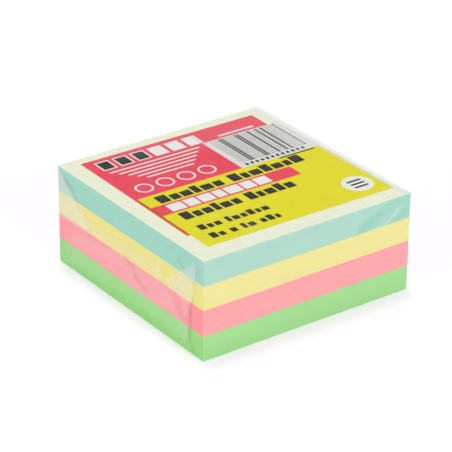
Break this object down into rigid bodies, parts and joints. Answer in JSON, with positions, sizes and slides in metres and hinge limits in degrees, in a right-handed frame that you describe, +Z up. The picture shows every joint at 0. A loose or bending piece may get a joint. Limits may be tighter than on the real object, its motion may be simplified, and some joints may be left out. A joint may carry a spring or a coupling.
{
  "type": "memo cube",
  "caption": "Square block of coloured note sheets glued along one edge, with a printed label on top, sealed in clear folded film.",
  "frame": {"origin": "centre of the underside, on the surface that the block rests on", "axes": "+Z up through the stack of sheets, +X along the lines of the label, -Y towards the front and +Y towards the glued edge"},
  "size_m": [0.086, 0.0854, 0.0366],
  "materials": {
    "green_paper": "uncoated pastel note paper, cut edges",
    "pink_paper": "uncoated pastel note paper, cut edges",
    "yellow_paper": "uncoated pastel note paper, cut edges",
    "turquoise_paper": "uncoated pastel note paper, cut edges",
    "cream_paper": "uncoated cream paper",
    "padding_glue": "dried milky padding glue",
    "white_paper": "smooth white label stock",
    "red_ink": "offset printing",
    "yellow_ink": "offset printing",
    "dark_ink": "offset printing",
    "clear_film": "glossy clear overwrap film"
  },
  "bodies": {
    "root": {"green_pad": "green_paper", "pink_pad": "pink_paper", "yellow_pad": "yellow_paper", "turquoise_pad": "turquoise_paper", "cover_sheet": "cream_paper", "glue_layer": "padding_glue", "label": "white_paper", "red_print": "red_ink", "yellow_print": "yellow_ink", "dark_print": "dark_ink", "film_wrap": "clear_film"}
  },
  "joints": []
}
